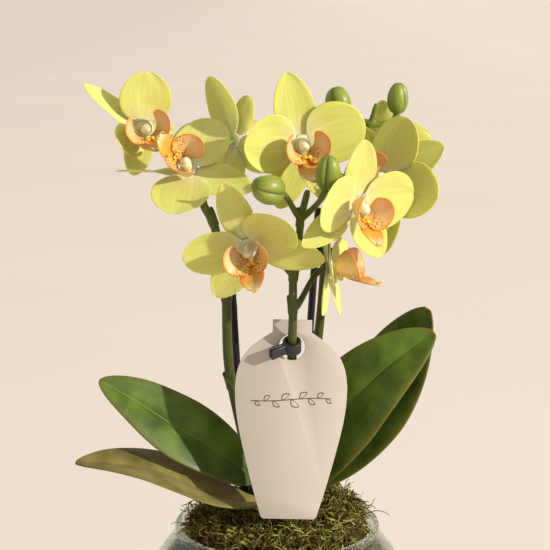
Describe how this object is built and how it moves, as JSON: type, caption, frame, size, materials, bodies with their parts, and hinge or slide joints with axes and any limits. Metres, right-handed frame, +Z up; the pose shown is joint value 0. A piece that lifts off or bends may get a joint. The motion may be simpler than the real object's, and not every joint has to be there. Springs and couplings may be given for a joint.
{
  "type": "potted orchid",
  "caption": "Potted moth orchid with spikes of small yellow flowers and strap leaves, staked in a round clear glass bowl of moss, with a hanging card tag.",
  "frame": {"origin": "centre of the bowl's flat underside, on the surface it stands on", "axes": "+Z up, -Y towards the front, which most flowers and the tag face, +X to the viewer's right from the front"},
  "size_m": [0.1746, 0.1416, 0.3384],
  "materials": {
    "glass": "clear polished glass, very slightly green at the edges",
    "moss": "dry tangled moss, matte",
    "leaf": "fleshy leaf, waxy satin",
    "stem": "green stem, satin",
    "petal": "thin petal, soft satin",
    "lip": "thin fleshy lip, satin",
    "column": "fleshy column, satin",
    "bud": "closed bud, satin",
    "stake": "dark stained cane, satin",
    "clip": "moulded dark plastic, satin",
    "card": "uncoated card, matte"
  },
  "bodies": {
    "root": {"glass_bowl": "glass", "moss": "moss", "leaf_crown": "leaf", "leaf_left_upper": "leaf", "leaf_left_lower": "leaf", "leaf_right_front": "leaf", "leaf_right_back": "leaf", "stake_left": "stake", "stake_right": "stake", "tag": "card", "clip_tag": "clip", "clip_stake": "clip", "spike_left": "stem", "spike_centre": "stem", "spike_right": "stem", "bud_top": "bud", "bud_tip": "bud", "bud_middle": "bud", "bud_front": "bud", "flower_far_left_sepals": "petal", "flower_far_left_petals": "petal", "flower_far_left_column": "column", "flower_far_left_lip": "lip", "flower_low_left_sepals": "petal", "flower_low_left_petals": "petal", "flower_low_left_column": "column", "flower_low_left_lip": "lip", "flower_back_left_sepals": "petal", "flower_back_left_petals": "petal", "flower_back_left_column": "column", "flower_back_left_lip": "lip", "flower_top_sepals": "petal", "flower_top_petals": "petal", "flower_top_column": "column", "flower_top_lip": "lip", "flower_front_left_sepals": "petal", "flower_front_left_petals": "petal", "flower_front_left_column": "column", "flower_front_left_lip": "lip", "flower_front_right_sepals": "petal", "flower_front_right_petals": "petal", "flower_front_right_column": "column", "flower_front_right_lip": "lip", "flower_right_sepals": "petal", "flower_right_petals": "petal", "flower_right_column": "column", "flower_right_lip": "lip", "flower_back_right_sepals": "petal", "flower_back_right_petals": "petal", "flower_back_right_column": "column", "flower_back_right_lip": "lip", "flower_low_right_sepals": "petal", "flower_low_right_petals": "petal", "flower_low_right_column": "column", "flower_low_right_lip": "lip"}
  },
  "joints": []
}
